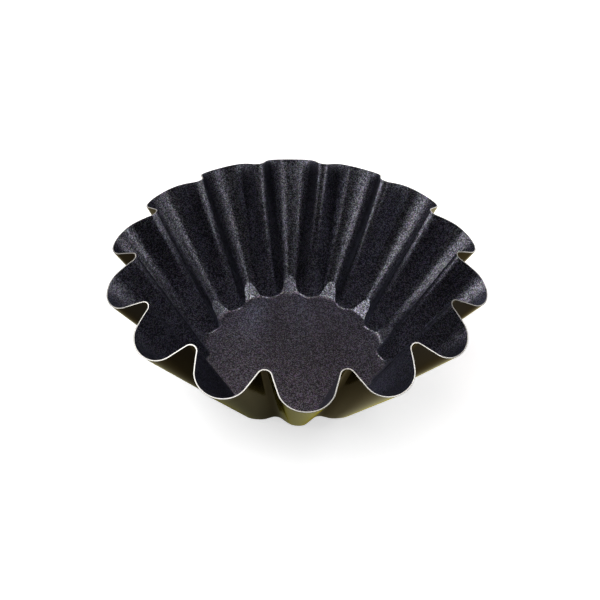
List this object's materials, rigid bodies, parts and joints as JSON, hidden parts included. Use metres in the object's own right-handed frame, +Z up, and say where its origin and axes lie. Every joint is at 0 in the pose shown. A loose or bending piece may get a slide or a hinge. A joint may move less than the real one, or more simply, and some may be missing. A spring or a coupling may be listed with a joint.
{
  "type": "brioche mould",
  "caption": "Large fluted, flared baking mould pressed from sheet steel, with a flat round base, a wavy cut rim, a dark non-stick lining and a bronze lacquer outside.",
  "frame": {"origin": "centre of the flat underside, on the surface that the mould stands on", "axes": "+Z up along the mould's axis, out of its mouth; -Y towards the first lobe; +X towards a ridge between two lobes"},
  "size_m": [0.1964, 0.2006, 0.074],
  "materials": {
    "bare_steel": "bare sheared edge of cold-rolled sheet steel, bright",
    "nonstick_coat": "sprayed fluoropolymer non-stick coat, near black with a fine grey speckle, satin",
    "bronze_lacquer": "stoved baking lacquer, olive bronze, satin gloss"
  },
  "bodies": {
    "root": {"steel_shell": "bare_steel", "nonstick_lining": "nonstick_coat", "outer_lacquer": "bronze_lacquer"}
  },
  "joints": []
}
